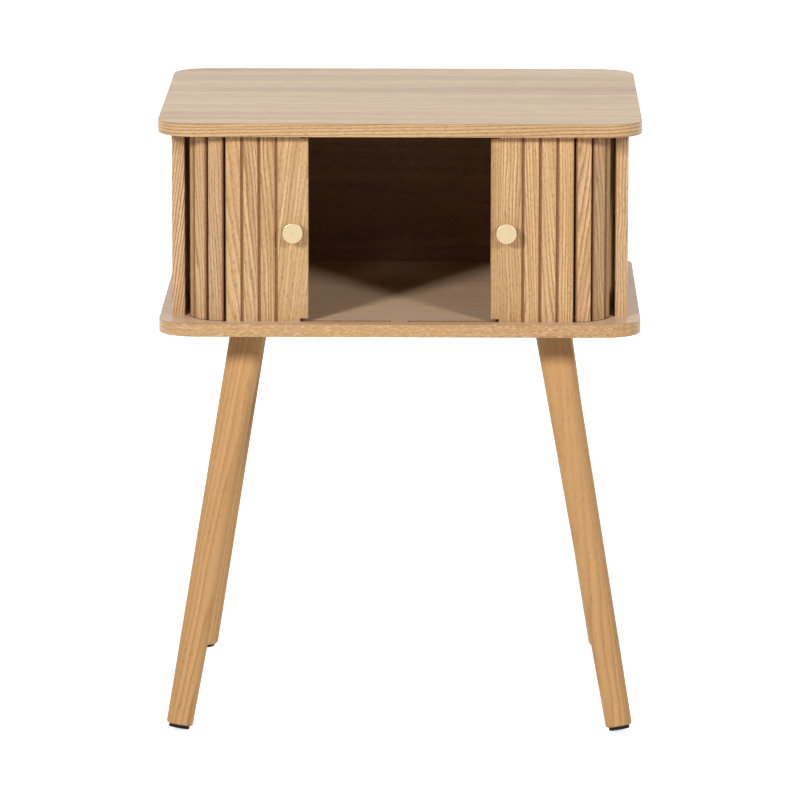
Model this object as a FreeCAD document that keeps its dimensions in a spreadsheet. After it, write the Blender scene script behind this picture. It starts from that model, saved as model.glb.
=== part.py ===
import FreeCAD, Part
import math
import os
import Sketcher

# Nightstand with two tambour doors: +X is the right-hand side, -Y the front,
# +Z up, origin on the floor under the middle of the two boards. Millimetres.

SIZES = (
    # the two boards and the case between them
    ("board_width", 450.0),
    ("board_depth", 400.0),
    ("board_thickness", 12.5),
    ("corner_radius", 36.0),
    ("edge_round", 0.8),
    ("inner_height", 175.0),
    ("side_inset", 12.0),
    ("side_thickness", 12.0),
    ("side_setback", 48.0),
    ("back_inset", 20.0),
    ("back_thickness", 12.0),
    ("panel_round", 0.8),
    ("dowel_diameter", 8.0),
    ("dowel_in_board", 7.0),
    ("dowel_in_panel", 18.0),
    ("dowel_from_end", 40.0),
    ("hole_play", 0.15),
    # the curved track and the tambour doors
    ("door_open", 84.5),
    ("slat_setback", 14.5),
    ("slat_thickness", 8.0),
    ("slat_width", 14.4),
    ("slat_back_width", 11.6),
    ("slat_flank", 4.0),
    ("slat_gap", 1.6),
    ("slat_round", 1.6),
    ("slat_count", 11),
    ("slat_in_groove", 4.5),
    ("slat_end_gap", 0.4),
    ("lead_width", 29.2),
    ("notch_width", 8.0),
    ("notch_rise", 3.0),
    ("side_gap", 5.5),
    ("bend_radius", 31.5),
    ("track_toe", 4.0),
    ("track_play", 0.5),
    ("track_tail", 3.0),
    ("groove_depth", 5.0),
    ("groove_from_middle", 8.0),
    ("canvas_thickness", 0.6),
    ("canvas_margin", 4.0),
    # the knobs
    ("knob_diameter", 19.0),
    ("knob_base", 11.0),
    ("knob_neck", 8.5),
    ("knob_rim", 3.0),
    ("knob_flare", 3.5),
    ("knob_projection", 14.0),
    ("knob_round", 0.7),
    ("knob_dimple", 1.2),
    ("knob_below_middle", 2.6),
    ("knob_screw", 4.0),
    ("knob_screw_head", 7.5),
    ("knob_screw_head_depth", 2.2),
    ("knob_screw_reach", 8.0),
    # the splayed legs
    ("leg_height", 380.0),
    ("leg_top_diameter", 33.0),
    ("leg_foot_diameter", 25.0),
    ("leg_from_side", 83.0),
    ("leg_from_front", 86.0),
    ("leg_tilt", 13.6),
    ("front_leg_turn", 46.0),
    ("back_leg_turn", 38.0),
    ("leg_drop", 10.0),
    ("foot_round", 2.7),
    ("bolt_diameter", 8.0),
    ("bolt_in_leg", 32.0),
    ("bolt_below_board", 1.5),
    ("glide_diameter", 19.6),
    ("glide_thickness", 3.2),
    ("glide_round", 1.0),
    ("glide_stem", 5.0),
    ("glide_stem_length", 12.0),
    ("plate_width", 50.0),
    ("plate_thickness", 2.5),
    ("plate_corner", 6.0),
    ("boss_diameter", 24.0),
    ("screw_spacing", 36.0),
    ("screw_diameter", 4.0),
    ("screw_head", 7.5),
    ("screw_head_depth", 2.0),
    ("screw_in_board", 8.0),
)

doc = FreeCAD.newDocument("Nightstand")
sheet = doc.addObject("Spreadsheet::Sheet", "Sizes")
for row, (name, value) in enumerate(SIZES, 1):
    sheet.set(f"A{row}", name)
    sheet.set(f"B{row}", str(value))
    sheet.setAlias(f"B{row}", name)
doc.recompute()


class Size:
    # a length that carries its value and the expression that makes it

    def __init__(self, value, text):
        self.value = float(value)
        self.text = text

    def __add__(self, other):
        other = as_size(other)
        return Size(self.value + other.value, f"({self.text} + {other.text})")

    def __sub__(self, other):
        other = as_size(other)
        return Size(self.value - other.value, f"({self.text} - {other.text})")

    def __mul__(self, other):
        other = as_size(other)
        return Size(self.value * other.value, f"({self.text} * {other.text})")

    def __truediv__(self, other):
        other = as_size(other)
        return Size(self.value / other.value, f"({self.text} / {other.text})")

    def __neg__(self):
        return Size(-self.value, f"(0 - {self.text})")


def as_size(amount):
    if isinstance(amount, Size):
        return amount
    return Size(amount, f"{float(amount):.6f}")


def size(name):
    return Size(sheet.get(name), f"Sizes.{name}")


def sine(angle):
    return Size(math.sin(math.radians(angle.value)), f"sin({angle.text} * 1 deg)")


def cosine(angle):
    return Size(math.cos(math.radians(angle.value)), f"cos({angle.text} * 1 deg)")


def point(x, y, z=0.0):
    return FreeCAD.Vector(as_size(x).value, as_size(y).value, as_size(z).value)


def bind(thing, name, amount):
    thing.setExpression(name, as_size(amount).text)


zero = as_size(0.0)
upright = FreeCAD.Vector(0, 0, 1)
play = size("hole_play")


def add_body(label):
    body = doc.addObject("PartDesign::Body", label)
    body.Label = label
    return body


def origin_plane(body, role):
    return next(feature for feature in body.Origin.OriginFeatures if feature.Role == role)


def add_sketch(body, role, raised=zero):
    sketch = body.newObject("Sketcher::SketchObject", f"{body.Name}_sketch")
    sketch.AttachmentSupport = (origin_plane(body, role), [""])
    sketch.MapMode = "FlatFace"
    if raised.value:
        sketch.AttachmentOffset = FreeCAD.Placement(point(0, 0, raised), FreeCAD.Rotation())
        bind(sketch, "AttachmentOffset.Base.z", raised)
    return sketch


def dimension(sketch, name, amount, *constraint):
    index = sketch.addConstraint(Sketcher.Constraint(*constraint))
    sketch.renameConstraint(index, name)
    sketch.setExpression(f"Constraints.{name}", amount.text)


def locate(sketch, name, kind, axis, edge, end, amount):
    if abs(amount.value) < 1e-9:
        sketch.addConstraint(Sketcher.Constraint("PointOnObject", edge, end, axis))
    else:
        dimension(sketch, name, amount, kind, -1, 1, edge, end, amount.value)


def draw_polygon(sketch, corners):
    corners = [(as_size(u), as_size(v)) for u, v in corners]
    count = len(corners)
    for index, corner in enumerate(corners):
        following = corners[(index + 1) % count]
        sketch.addGeometry(Part.LineSegment(point(*corner), point(*following)), False)
    for index in range(count):
        sketch.addConstraint(Sketcher.Constraint("Coincident", index, 2, (index + 1) % count, 1))
    for index, (u, v) in enumerate(corners):
        locate(sketch, f"across_{index}", "DistanceX", -2, index, 1, u)
        locate(sketch, f"along_{index}", "DistanceY", -1, index, 1, v)


def add_pad(body, sketch, length):
    pad = body.newObject("PartDesign::Pad", f"{body.Name}_pad")
    pad.Profile = sketch
    bind(pad, "Length", length)
    return pad


def add_turning(body, corners):
    sketch = add_sketch(body, "XZ_Plane")
    draw_polygon(sketch, corners)
    turning = body.newObject("PartDesign::Revolution", f"{body.Name}_turning")
    turning.Profile = sketch
    turning.ReferenceAxis = (sketch, ["V_Axis"])
    turning.Angle = 360.0
    return turning


def add_round(body, feature, radius, wanted):
    doc.recompute()
    names = [f"Edge{index}" for index, edge in enumerate(feature.Shape.Edges, 1) if wanted(edge)]
    fillet = body.newObject("PartDesign::Fillet", f"{body.Name}_round")
    fillet.Base = (feature, names)
    bind(fillet, "Radius", radius)
    return fillet


def heights(edge):
    return [vertex.Point.z for vertex in edge.Vertexes]


def is_upright(edge):
    levels = heights(edge)
    return len(levels) == 2 and abs(levels[0] - levels[1]) > 1.0


def circle_at(radius, level):
    def wanted(edge):
        round_edge = isinstance(edge.Curve, Part.Circle)
        return (
            round_edge
            and abs(edge.Curve.Radius - radius.value) < 1e-4
            and abs(edge.Curve.Center.z - level.value) < 1e-4
        )
    return wanted


def add_rod(label, diameter, length, placement):
    rod = doc.addObject("Part::Cylinder", label)
    rod.Label = label
    bind(rod, "Radius", as_size(diameter) / 2)
    bind(rod, "Height", length)
    rod.Placement = placement
    return rod


def add_box(label, length, width, height, placement):
    box = doc.addObject("Part::Box", label)
    box.Label = label
    bind(box, "Length", length)
    bind(box, "Width", width)
    bind(box, "Height", height)
    box.Placement = placement
    return box


def add_group(label, pieces):
    group = doc.addObject("Part::Compound", label)
    group.Label = label
    group.Links = pieces
    return group


def add_cut(label, base, tools):
    cut = doc.addObject("Part::Cut", label)
    cut.Label = label
    cut.Base = base
    cut.Tool = tools
    return cut


def at(position, rotation=None):
    return FreeCAD.Placement(position, rotation or FreeCAD.Rotation())


def about_z(degrees):
    return FreeCAD.Rotation(upright, degrees)


# levels and planes of the case
half_width = size("board_width") / 2
half_depth = size("board_depth") / 2
front = -half_depth
floor_level = size("leg_height") + size("board_thickness")
ceiling_level = floor_level + size("inner_height")
side_outer = half_width - size("side_inset")
side_inner = side_outer - size("side_thickness")
side_middle = side_outer - size("side_thickness") / 2
side_front = front + size("side_setback")
case_back = half_depth - size("back_inset")
back_front = case_back - size("back_thickness")

# the slats' middle line: straight behind the front edge, round the bend, back along the side
slat_half = size("slat_thickness") / 2
track_line = front + size("slat_setback") + slat_half
groove_half = slat_half + size("track_play")
bend_start = side_inner - size("side_gap") - slat_half - size("bend_radius")
bend_turn = size("track_toe") + 90
bend_length = size("bend_radius") * bend_turn * (math.pi / 180)
slat_pitch = size("slat_width") + size("slat_gap")
lead_middle = size("door_open") + size("lead_width") / 2
first_slat = lead_middle + size("lead_width") / 2 + size("slat_gap") + size("slat_width") / 2
slat_count = int(round(size("slat_count").value))
tail_end = first_slat + slat_pitch * (slat_count - 1) + size("slat_width") / 2 + size("track_tail")


def on_track(run):
    # place on the track's middle line and the slat's turn, for a run measured from the middle
    radius = size("bend_radius").value
    past = run - bend_start.value
    if past <= 0:
        return run, track_line.value, 0.0
    turn = min(past / radius, math.radians(bend_turn.value))
    x = bend_start.value + radius * math.sin(turn)
    y = track_line.value + radius * (1 - math.cos(turn))
    rest = max(0.0, past - bend_length.value)
    return x + rest * math.cos(turn), y + rest * math.sin(turn), math.degrees(turn)


def draw_track(sketch):
    radius = size("bend_radius").value
    turn = math.radians(bend_turn.value)
    middle = point(bend_start, track_line + size("bend_radius"))
    run = (tail_end - bend_start - bend_length).value
    start = size("groove_from_middle").value

    def ray(reach):
        return middle + FreeCAD.Vector(reach * math.sin(turn), -reach * math.cos(turn), 0)

    onward = FreeCAD.Vector(math.cos(turn), math.sin(turn), 0) * run
    outer = radius + groove_half.value
    inner = radius - groove_half.value
    corners = {
        "start_out": FreeCAD.Vector(start, middle.y - outer, 0),
        "bend_out": FreeCAD.Vector(middle.x, middle.y - outer, 0),
        "start_in": FreeCAD.Vector(start, middle.y - inner, 0),
        "bend_in": FreeCAD.Vector(middle.x, middle.y - inner, 0),
    }
    first_angle = -math.pi / 2
    last_angle = first_angle + turn

    def arc(reach):
        circle = Part.Circle(middle, upright, reach)
        return Part.ArcOfCircle(circle, first_angle, last_angle)

    straight_out, bend_out, side_out, tail, side_in, bend_in, straight_in, stop = range(8)
    sketch.addGeometry(Part.LineSegment(corners["start_out"], corners["bend_out"]), False)
    sketch.addGeometry(arc(outer), False)
    sketch.addGeometry(Part.LineSegment(ray(outer), ray(outer) + onward), False)
    sketch.addGeometry(Part.LineSegment(ray(outer) + onward, ray(inner) + onward), False)
    sketch.addGeometry(Part.LineSegment(ray(inner) + onward, ray(inner)), False)
    sketch.addGeometry(arc(inner), False)
    sketch.addGeometry(Part.LineSegment(corners["bend_in"], corners["start_in"]), False)
    sketch.addGeometry(Part.LineSegment(corners["start_in"], corners["start_out"]), False)
    for constraint in (
        ("Tangent", straight_out, 2, bend_out, 1),
        ("Tangent", bend_out, 2, side_out, 1),
        ("Tangent", side_in, 2, bend_in, 2),
        ("Tangent", bend_in, 1, straight_in, 1),
        ("Coincident", side_out, 2, tail, 1),
        ("Coincident", tail, 2, side_in, 1),
        ("Coincident", straight_in, 2, stop, 1),
        ("Coincident", stop, 2, straight_out, 1),
        ("Coincident", bend_out, 3, bend_in, 3),
        ("Horizontal", straight_out),
        ("Horizontal", straight_in),
        ("Vertical", stop),
        ("Parallel", side_out, side_in),
        ("Perpendicular", tail, side_out),
    ):
        sketch.addConstraint(Sketcher.Constraint(*constraint))
    locate(sketch, "bend_across", "DistanceX", -2, bend_out, 3, bend_start)
    locate(sketch, "bend_along", "DistanceY", -1, bend_out, 3, track_line + size("bend_radius"))
    locate(sketch, "stop_across", "DistanceX", -2, stop, 1, size("groove_from_middle"))
    outer_radius = size("bend_radius") + groove_half
    inner_radius = size("bend_radius") - groove_half
    side_run = tail_end - bend_start - bend_length
    dimension(sketch, "outer_radius", outer_radius, "Radius", bend_out, outer_radius.value)
    dimension(sketch, "inner_radius", inner_radius, "Radius", bend_in, inner_radius.value)
    dimension(sketch, "side_run", side_run, "Distance", side_out, 1, side_out, 2, side_run.value)
    degrees = Size(bend_turn.value, f"({bend_turn.text} * 1 deg)")
    dimension(sketch, "bend_turn", degrees, "Angle", side_out, turn)


def add_board(label, level, groove_up, holes):
    # a board with rounded corners and a track groove for each door in the face towards the case
    body = add_body(f"{label}_blank")
    outline = add_sketch(body, "XY_Plane")
    draw_polygon(outline, (
        (-half_width, -half_depth),
        (half_width, -half_depth),
        (half_width, half_depth),
        (-half_width, half_depth),
    ))
    slab = add_pad(body, outline, size("board_thickness"))
    shaped = add_round(body, slab, size("corner_radius"), is_upright)
    softened = add_round(body, shaped, size("edge_round"), lambda edge: not is_upright(edge))
    doc.recompute()
    solid = softened.Shape.Volume
    track = add_sketch(body, "XY_Plane", size("board_thickness") if groove_up else zero)
    draw_track(track)
    groove = body.newObject("PartDesign::Pocket", f"{label}_groove")
    groove.Profile = track
    bind(groove, "Length", size("groove_depth"))
    groove.Reversed = not groove_up
    pair = body.newObject("PartDesign::Mirrored", f"{label}_grooves")
    pair.Originals = [groove]
    pair.MirrorPlane = (origin_plane(body, "YZ_Plane"), [""])
    body.Tip = pair
    body.Placement = at(point(0, 0, level))
    doc.recompute()
    if body.Shape.Volume > solid - 1000.0:
        raise RuntimeError(f"{label}: the grooves cut nothing")
    return add_cut(label, body, holes)


def add_panel(label, corners, holes, rounded):
    # an upright panel that stands between the boards
    body = add_body(f"{label}_blank")
    outline = add_sketch(body, "XY_Plane")
    draw_polygon(outline, corners)
    slab = add_pad(body, outline, size("inner_height"))
    add_round(body, slab, size("panel_round"), rounded)
    body.Placement = at(point(0, 0, floor_level))
    return add_cut(label, body, holes)


# dowels that join the panels' ends to the boards, and the holes they sit in
dowels = []
dowel_holes = []
dowel_length = size("dowel_in_board") + size("dowel_in_panel")
side_ends = (side_front + size("dowel_from_end"), case_back - size("dowel_from_end"))
dowel_rows = [(hand * side_middle.value, y.value) for hand in (-1, 1) for y in side_ends]
dowel_rows += [(hand * side_middle.value, (side_front + case_back).value / 2) for hand in (-1, 1)]
back_dowel = side_inner - size("dowel_from_end")
dowel_rows += [(hand * back_dowel.value, (back_front + case_back).value / 2) for hand in (-1, 1)]
for index, (x, y) in enumerate(dowel_rows, 1):
    for end, low in (
        ("foot", floor_level - size("dowel_in_board")),
        ("head", ceiling_level - size("dowel_in_panel")),
    ):
        place = at(point(x, y, low))
        dowels.append(add_rod(f"dowel_{end}_{index}", size("dowel_diameter"), dowel_length, place))
        place = at(point(x, y, low - play))
        bore = size("dowel_diameter") + play * 2
        hole = add_rod(f"dowel_hole_{end}_{index}", bore, dowel_length + play * 2, place)
        dowel_holes.append(hole)
add_group("carcass_dowels", dowels)
panel_holes = add_group("panel_holes", dowel_holes)

# splayed legs: where each one meets the underside, which way it leans, and its length
tilt = size("leg_tilt")
glide_reach = size("glide_diameter") / 2 - size("glide_round")
foot_level = glide_reach * sine(tilt) + size("glide_round") * (as_size(1) - cosine(tilt))
axis_length = (size("leg_height") - foot_level) / cosine(tilt)
leg_length = axis_length - size("leg_drop") - size("glide_thickness")
leg_places = (
    ("front_left", -1, -1, "front_leg_turn"),
    ("front_right", 1, -1, "front_leg_turn"),
    ("back_left", -1, 1, "back_leg_turn"),
    ("back_right", 1, 1, "back_leg_turn"),
)


def leg_frame(hand, end, turn_name):
    turn = math.radians(size(turn_name).value)
    lean = math.radians(tilt.value)
    head = FreeCAD.Vector(
        hand * (half_width - size("leg_from_side")).value,
        end * (half_depth - size("leg_from_front")).value,
        size("leg_height").value,
    )
    upward = FreeCAD.Vector(
        -hand * math.sin(turn) * math.sin(lean),
        -end * math.cos(turn) * math.sin(lean),
        math.cos(lean),
    )
    facing = about_z(-hand * end * size(turn_name).value)
    return head, upward, FreeCAD.Rotation(upright, upward), facing


def screw_places(head, facing):
    half = size("screw_spacing").value / 2
    corners = ((-half, -half), (half, -half), (half, half), (-half, half))
    return [head + facing.multVec(FreeCAD.Vector(x, y, 0)) for x, y in corners]


def add_leg(name, head, upward, lean):
    foot = head - upward * axis_length.value
    leg = add_body(f"{name}_leg")
    bolt_bore = size("bolt_diameter") / 2 + play
    stem_bore = size("glide_stem") / 2 + play
    stem_depth = size("glide_stem_length") + play
    bolt_depth = leg_length - size("bolt_in_leg") - play
    foot_radius = size("leg_foot_diameter") / 2
    turning = add_turning(leg, (
        (stem_bore, 0),
        (foot_radius, 0),
        (size("leg_top_diameter") / 2, leg_length),
        (bolt_bore, leg_length),
        (bolt_bore, bolt_depth),
        (0, bolt_depth),
        (0, stem_depth),
        (stem_bore, stem_depth),
    ))
    add_round(leg, turning, size("foot_round"), circle_at(foot_radius, zero))
    leg.Placement = at(foot + upward * size("glide_thickness").value, lean)
    glide = add_body(f"{name}_glide")
    pad_radius = size("glide_diameter") / 2
    stem_radius = size("glide_stem") / 2
    stem_top = size("glide_thickness") + size("glide_stem_length")
    turning = add_turning(glide, (
        (0, 0),
        (pad_radius, 0),
        (pad_radius, size("glide_thickness")),
        (stem_radius, size("glide_thickness")),
        (stem_radius, stem_top),
        (0, stem_top),
    ))
    add_round(glide, turning, size("glide_round"), circle_at(pad_radius, zero))
    glide.Placement = at(foot, lean)


def add_plate(name, head, upward, lean, facing):
    # steel plate under the board with a tilted boss that takes the leg's bolt
    half = size("plate_width") / 2
    plate = add_body(f"{name}_plate_blank")
    outline = add_sketch(plate, "XY_Plane")
    draw_polygon(outline, ((-half, -half), (half, -half), (half, half), (-half, half)))
    slab = add_pad(plate, outline, size("plate_thickness"))
    add_round(plate, slab, size("plate_corner"), is_upright)
    plate.Placement = at(head - upright * size("plate_thickness").value, facing)
    seat = head - upward * size("leg_drop").value
    boss_length = size("leg_drop") + size("boss_diameter") / 2
    boss = add_rod(f"{name}_boss", size("boss_diameter"), boss_length, at(seat, lean))
    joined = doc.addObject("Part::Fuse", f"{name}_plate_joined")
    joined.Base = plate
    joined.Tool = boss
    reach = boss_length.value
    corner = head + FreeCAD.Vector(-reach, -reach, 0)
    above = add_box(f"{name}_above", boss_length * 2, boss_length * 2, boss_length, at(corner))
    bore = size("bolt_diameter") + play * 2
    tools = [above, add_rod(f"{name}_bolt_hole", bore, boss_length, at(seat, lean))]
    for index, place in enumerate(screw_places(head, facing), 1):
        low = place - upright * size("plate_thickness").value
        bore = size("screw_diameter") + play * 2
        tools.append(add_rod(f"{name}_hole_{index}", bore, size("plate_thickness"), at(low)))
    cutters = doc.addObject("Part::MultiFuse", f"{name}_plate_cutters")
    cutters.Shapes = tools
    add_cut(f"{name}_plate", joined, cutters)
    bolt_length = size("leg_drop") - size("bolt_below_board") + size("bolt_in_leg")
    low = head - upward * (size("leg_drop") + size("bolt_in_leg")).value
    add_rod(f"{name}_bolt", size("bolt_diameter"), bolt_length, at(low, lean))


screws = []
screw_holes = []
for name, hand, end, turn_name in leg_places:
    head, upward, lean, facing = leg_frame(hand, end, turn_name)
    add_leg(name, head, upward, lean)
    add_plate(name, head, upward, lean, facing)
    for index, place in enumerate(screw_places(head, facing), 1):
        shank_length = size("plate_thickness") + size("screw_in_board")
        below = place - upright * size("plate_thickness").value
        shank = add_rod(f"{name}_shank_{index}", size("screw_diameter"), shank_length, at(below))
        cap_place = at(below - upright * size("screw_head_depth").value)
        cap = add_rod(f"{name}_cap_{index}", size("screw_head"), size("screw_head_depth"), cap_place)
        screw = doc.addObject("Part::Fuse", f"{name}_screw_{index}")
        screw.Base = shank
        screw.Tool = cap
        screws.append(screw)
        bore = size("screw_diameter") + play * 2
        hole_length = size("screw_in_board") + play
        screw_holes.append(add_rod(f"{name}_pilot_{index}", bore, hole_length, at(place)))
add_group("leg_plate_screws", screws)

# the case
board_holes = add_group("board_holes", [panel_holes] + screw_holes)
add_board("bottom_board", size("leg_height"), True, board_holes)
add_board("top_board", ceiling_level, False, panel_holes)


def front_corners(edge):
    return is_upright(edge) and edge.Vertexes[0].Point.y < side_front.value + 0.01


for name, hand in (("left_side", -1), ("right_side", 1)):
    near = side_inner * hand
    far = side_outer * hand
    add_panel(name, (
        (near, side_front),
        (far, side_front),
        (far, case_back),
        (near, case_back),
    ), panel_holes, front_corners)
add_panel("back_panel", (
    (-side_inner, back_front),
    (side_inner, back_front),
    (side_inner, case_back),
    (-side_inner, case_back),
), panel_holes, lambda edge: is_upright(edge) and edge.Vertexes[0].Point.y > back_front.value + 0.01)


def add_slat(label, half_face, half_back, low, length):
    # a wooden strip, flat in front with eased edges, its flanks drawn in behind
    body = add_body(label)
    outline = add_sketch(body, "XY_Plane")
    flank = size("slat_flank") - slat_half
    draw_polygon(outline, (
        (-half_face, -slat_half),
        (half_face, -slat_half),
        (half_face, flank),
        (half_back, slat_half),
        (-half_back, slat_half),
        (-half_face, flank),
    ))
    strip = add_pad(body, outline, length)

    def on_face(edge):
        return is_upright(edge) and edge.Vertexes[0].Point.y < 0.01 - slat_half.value

    add_round(body, strip, size("slat_round"), on_face)
    return body


def add_door(name, hand):
    low = floor_level - size("slat_in_groove")
    length = size("inner_height") + size("slat_in_groove") * 2
    knob_level = floor_level + size("inner_height") / 2 - size("knob_below_middle")
    facing_front = FreeCAD.Rotation(upright, FreeCAD.Vector(0, -1, 0))
    lead_half = size("lead_width") / 2
    lead_x = lead_middle * hand
    lead_face = track_line - slat_half

    # lead slat, notched at its meeting edge where the grooves stop short of the middle
    lead = add_slat(f"{name}_lead_blank", lead_half, lead_half - size("slat_round"), low, length)
    lead.Placement = at(point(lead_x, track_line, low))
    notch_height = size("slat_in_groove") + size("notch_rise")
    notch_x = size("door_open") * hand - size("notch_width") * (0 if hand > 0 else 1)
    tools = []
    for end, level in (("foot", low), ("head", ceiling_level - size("notch_rise"))):
        corner = at(point(notch_x, lead_face, level))
        label = f"{name}_notch_{end}"
        notch = add_box(label, size("notch_width"), size("slat_thickness"), notch_height, corner)
        tools.append(notch)
    sunk = size("knob_screw_head_depth") + play
    bore = size("knob_screw") + play * 2
    back_of_lead = point(lead_x, track_line + slat_half, knob_level)
    drill = at(back_of_lead, facing_front)
    tools.append(add_rod(f"{name}_knob_hole", bore, size("slat_thickness"), drill))
    recess = size("knob_screw_head") + play * 2
    tools.append(add_rod(f"{name}_knob_recess", recess, sunk, drill))
    cutters = doc.addObject("Part::MultiFuse", f"{name}_lead_cutters")
    cutters.Shapes = tools
    add_cut(f"{name}_lead_slat", lead, cutters)

    # knob, turned from solid brass, and the screw that holds it from behind
    knob = add_body(f"{name}_knob")
    head_radius = size("knob_diameter") / 2
    face_level = size("knob_projection")
    rim_level = face_level - size("knob_rim")
    neck_level = rim_level - size("knob_flare")
    thread = size("knob_screw") / 2 + play
    thread_depth = size("knob_screw_reach") + play
    turning = add_turning(knob, (
        (thread, 0),
        (size("knob_base") / 2, 0),
        (size("knob_neck") / 2, neck_level),
        (head_radius, rim_level),
        (head_radius, face_level),
        (size("knob_dimple") / 2, face_level),
        (0, face_level - size("knob_dimple") / 4),
        (0, thread_depth),
        (thread, thread_depth),
    ))
    add_round(knob, turning, size("knob_round"), circle_at(head_radius, face_level))
    knob.Placement = at(point(lead_x, lead_face, knob_level), facing_front)
    sunk_place = at(back_of_lead + FreeCAD.Vector(0, -sunk.value, 0), facing_front)
    shank_length = size("slat_thickness") - sunk + size("knob_screw_reach")
    shank = add_rod(f"{name}_screw_shank", size("knob_screw"), shank_length, sunk_place)
    cap_place = at(back_of_lead + FreeCAD.Vector(0, -play.value, 0), facing_front)
    head_depth = size("knob_screw_head_depth")
    cap = add_rod(f"{name}_screw_cap", size("knob_screw_head"), head_depth, cap_place)
    screw = doc.addObject("Part::Fuse", f"{name}_knob_screw")
    screw.Label = f"{name}_knob_screw"
    screw.Base = shank
    screw.Tool = cap

    # narrow slats, spaced along the track
    half_face = size("slat_width") / 2
    half_back = size("slat_back_width") / 2
    last_straight = lead_middle + lead_half
    for index in range(slat_count):
        run = first_slat + slat_pitch * index
        x, y, turn = on_track(run.value)
        label = f"{name}_slat_{index + 1:02d}"
        if run.value <= bend_start.value:
            slat = add_slat(label, half_face, half_back, low, length)
            base = low
            last_straight = run + half_back
        else:
            clear = size("inner_height") - size("slat_end_gap") * 2
            base = floor_level + size("slat_end_gap")
            slat = add_slat(label, half_face, half_back, base, clear)
        slat.Placement = at(point(hand * x, y, base), about_z(hand * turn))

    # canvas glued behind the slats that stay on the straight
    inner = size("door_open") + size("slat_gap")
    strip = last_straight - inner
    corner = inner if hand > 0 else -last_straight
    canvas_low = floor_level + size("canvas_margin")
    canvas_height = size("inner_height") - size("canvas_margin") * 2
    place = at(point(corner, track_line + slat_half, canvas_low))
    add_box(f"{name}_canvas", strip, size("canvas_thickness"), canvas_height, place)


add_door("left", -1)
add_door("right", 1)
doc.recompute()

# names of the finished pieces, each written to a file of its own
leg_names = [name for name, hand, end, turn_name in leg_places]
pieces = ["top_board", "bottom_board", "left_side", "right_side", "back_panel", "carcass_dowels"]
pieces += [f"{name}_{kind}" for name in leg_names for kind in ("leg", "glide", "plate", "bolt")]
pieces.append("leg_plate_screws")
for name in ("left", "right"):
    pieces += [f"{name}_{kind}" for kind in ("lead_slat", "canvas", "knob", "knob_screw")]
    pieces += [f"{name}_slat_{index + 1:02d}" for index in range(slat_count)]

for thing in doc.Objects:
    if "Invalid" in thing.State or "Error" in thing.State:
        raise RuntimeError(f"{thing.Label}: {thing.State}")
by_label = {thing.Label: thing for thing in doc.Objects}
for label in pieces:
    shape = by_label[label].Shape
    if shape.isNull() or not shape.isValid() or not shape.Solids:
        raise RuntimeError(f"{label}: not a valid solid")

os.makedirs("parts", exist_ok=True)
for label in pieces:
    by_label[label].Shape.exportStep(f"parts/{label}.step")
print(f"{len(pieces)} pieces written")
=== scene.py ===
import math

import bmesh
import bpy
from mathutils import Matrix, Vector


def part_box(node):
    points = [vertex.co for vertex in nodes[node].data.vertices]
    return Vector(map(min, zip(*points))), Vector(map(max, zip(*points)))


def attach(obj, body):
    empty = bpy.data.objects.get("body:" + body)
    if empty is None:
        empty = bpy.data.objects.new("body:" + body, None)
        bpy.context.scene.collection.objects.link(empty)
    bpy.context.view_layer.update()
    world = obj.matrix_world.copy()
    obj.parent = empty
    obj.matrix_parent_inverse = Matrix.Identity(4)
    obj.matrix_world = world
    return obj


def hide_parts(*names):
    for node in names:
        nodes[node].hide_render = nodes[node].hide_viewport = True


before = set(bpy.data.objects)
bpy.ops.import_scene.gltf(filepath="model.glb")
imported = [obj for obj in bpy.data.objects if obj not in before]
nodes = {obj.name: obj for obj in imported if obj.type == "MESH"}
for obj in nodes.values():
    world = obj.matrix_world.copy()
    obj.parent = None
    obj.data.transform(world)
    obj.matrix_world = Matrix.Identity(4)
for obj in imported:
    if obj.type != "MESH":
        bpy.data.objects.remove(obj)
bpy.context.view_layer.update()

scene = bpy.context.scene
mm = 0.001
waveWidth = 0.31416  # how wide a ring or band of the wave texture is at a scale of 1
hands = (("left", -1), ("right", 1))
ends = (("front", -1), ("back", 1))
print("frame loaded:", len(nodes), "nodes")


def linear(hexColour):
    # the sRGB curve
    parts = [int(hexColour[at:at + 2], 16) / 255 for at in (1, 3, 5)]
    return tuple(p / 12.92 if p <= 0.04045 else ((p + 0.055) / 1.055) ** 2.4 for p in parts) + (1.0,)


def addNode(tree, kind, inputs=None, stops=None, **settings):
    # stops go up; a mix of colours takes its share at 0 and its colours at 6 and 7
    node = tree.nodes.new(kind)
    for key, value in settings.items():
        setattr(node, key, value)
    for key, value in (inputs or {}).items():
        if isinstance(value, bpy.types.NodeSocket):
            tree.links.new(value, node.inputs[key])
        else:
            node.inputs[key].default_value = value
    for index, (place, colour) in enumerate(stops or ()):
        ramp = node.color_ramp.elements
        stop = ramp[index] if index < 2 else ramp.new(place)
        stop.position = place
        stop.color = colour
    return node


def addPiece(name, mesh):
    piece = bpy.data.objects.new(name, mesh)
    scene.collection.objects.link(piece)
    return piece


# camera, fitted to the edges of the boards, the panels and the legs
shot = {
    "place": (0.0648, -5.9797, 1.3821), "lens": 284.17, "sensor": 36,
    "yaw": -0.6352, "pitch": 10.4014, "roll": 0.0661,
}

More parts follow.
